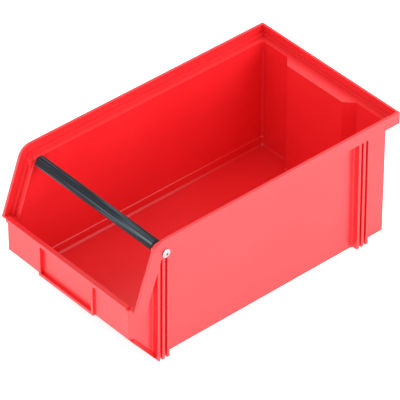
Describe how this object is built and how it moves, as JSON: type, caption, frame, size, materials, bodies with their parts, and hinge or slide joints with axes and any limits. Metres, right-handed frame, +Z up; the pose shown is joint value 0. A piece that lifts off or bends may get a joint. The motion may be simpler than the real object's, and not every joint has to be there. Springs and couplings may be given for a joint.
{
  "type": "stackable storage bin",
  "caption": "Open-fronted stacking bin with a rimmed hopper mouth, side stacking ribs, a label frame on the front and a carry rod riveted across the mouth.",
  "frame": {"origin": "centre of the footprint, on the surface that the base stands on", "axes": "+X to the bin's right seen from behind the hopper mouth, +Y along its length from the low hopper front to the rear lip, +Z up"},
  "size_m": [0.205, 0.3432, 0.149],
  "materials": {
    "bin_plastic": "satin moulded polypropylene",
    "rod_plastic": "satin, finely fluted along its length",
    "cap_plastic": "matt",
    "rivet_metal": "bright, as drawn",
    "mandrel_metal": "plain steel, broken off"
  },
  "bodies": {
    "bin": {"bin_body": "bin_plastic", "rivet_right": "rivet_metal", "rivet_left": "rivet_metal", "mandrel_right": "mandrel_metal", "mandrel_left": "mandrel_metal"},
    "rod": {"carry_rod": "rod_plastic", "rod_cap_right": "cap_plastic", "rod_cap_left": "cap_plastic"}
  },
  "joints": [
    {"name": "rod_spin", "type": "hinge", "parent": "bin", "child": "rod", "pos_m": [0, -0.1301, 0.13295], "axis": [1, 0, 0], "continuous": true}
  ]
}
